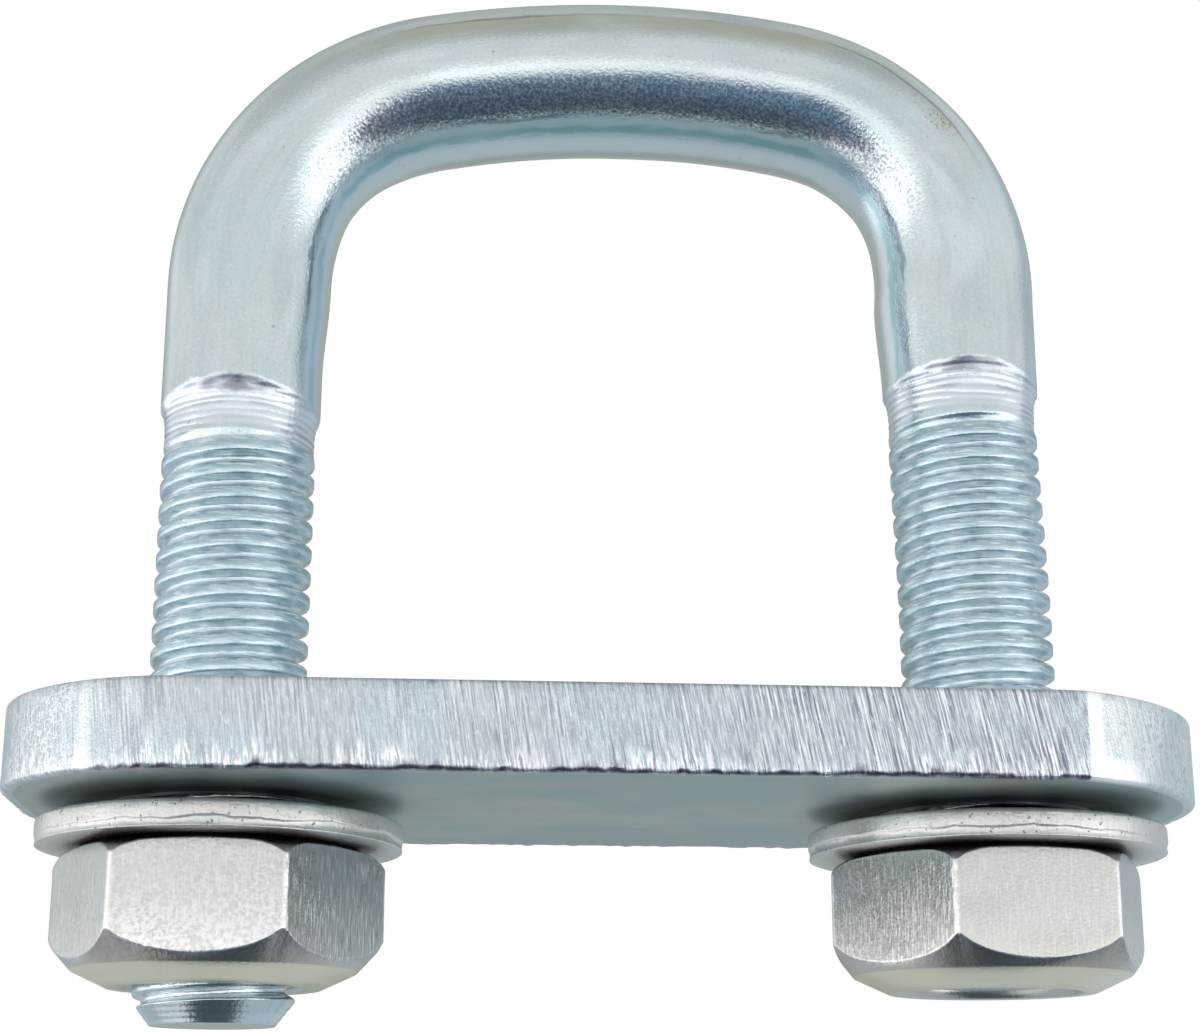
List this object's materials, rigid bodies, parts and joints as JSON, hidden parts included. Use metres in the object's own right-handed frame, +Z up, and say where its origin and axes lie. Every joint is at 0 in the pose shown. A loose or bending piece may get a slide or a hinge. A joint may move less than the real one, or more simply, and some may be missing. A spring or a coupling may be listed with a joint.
{
  "type": "u-bolt",
  "caption": "Zinc-plated U-bolt clamp: round bar bent into a flat-crowned U with threaded legs, closed by a rounded clamp plate held by washers and hex nuts.",
  "frame": {"origin": "centre of the plate's clamping face, its upper face, midway between the two legs", "axes": "+X along the plate from the left leg to the right leg, +Y to the back, +Z up the legs towards the crown"},
  "size_m": [0.0706, 0.03, 0.0661],
  "materials": {
    "bar_zinc": "bright blue-white zinc plating, satin",
    "plate_zinc": "blue-white zinc plating over sheared and ground edges",
    "washer_zinc": "zinc plating with a punched rim",
    "nut_zinc": "zinc plating, satin with fine upright grain"
  },
  "bodies": {
    "u_rod": {"u_rod": "bar_zinc"},
    "clamp_plate": {"clamp_plate": "plate_zinc"},
    "washer_left": {"washer_left": "washer_zinc"},
    "washer_right": {"washer_right": "washer_zinc"},
    "nut_left": {"nut_left": "nut_zinc"},
    "nut_right": {"nut_right": "nut_zinc"}
  },
  "joints": [
    {"name": "plate_slide", "type": "slide", "parent": "u_rod", "child": "clamp_plate", "axis": [0, 0, 1], "range_m": [-0.0008, 0.025]},
    {"name": "washer_left_slide", "type": "slide", "parent": "u_rod", "child": "washer_left", "axis": [0, 0, -1], "range_m": [0, 0.0106]},
    {"name": "nut_left_spin", "type": "hinge", "parent": "washer_left", "child": "nut_left", "pos_m": [-0.023, 0, -0.0115], "axis": [0, 0, -1], "range_deg": [0, 2520]},
    {"name": "washer_right_slide", "type": "slide", "parent": "u_rod", "child": "washer_right", "axis": [0, 0, -1], "range_m": [0, 0.008]},
    {"name": "nut_right_spin", "type": "hinge", "parent": "washer_right", "child": "nut_right", "pos_m": [0.023, 0, -0.0115], "axis": [0, 0, -1], "range_deg": [0, 1890]}
  ],
  "couplings": [
    {"joint": "washer_left_slide", "follows": "nut_left_spin", "m_per_rad": 0.00023873},
    {"joint": "washer_right_slide", "follows": "nut_right_spin", "m_per_rad": 0.00023873}
  ]
}
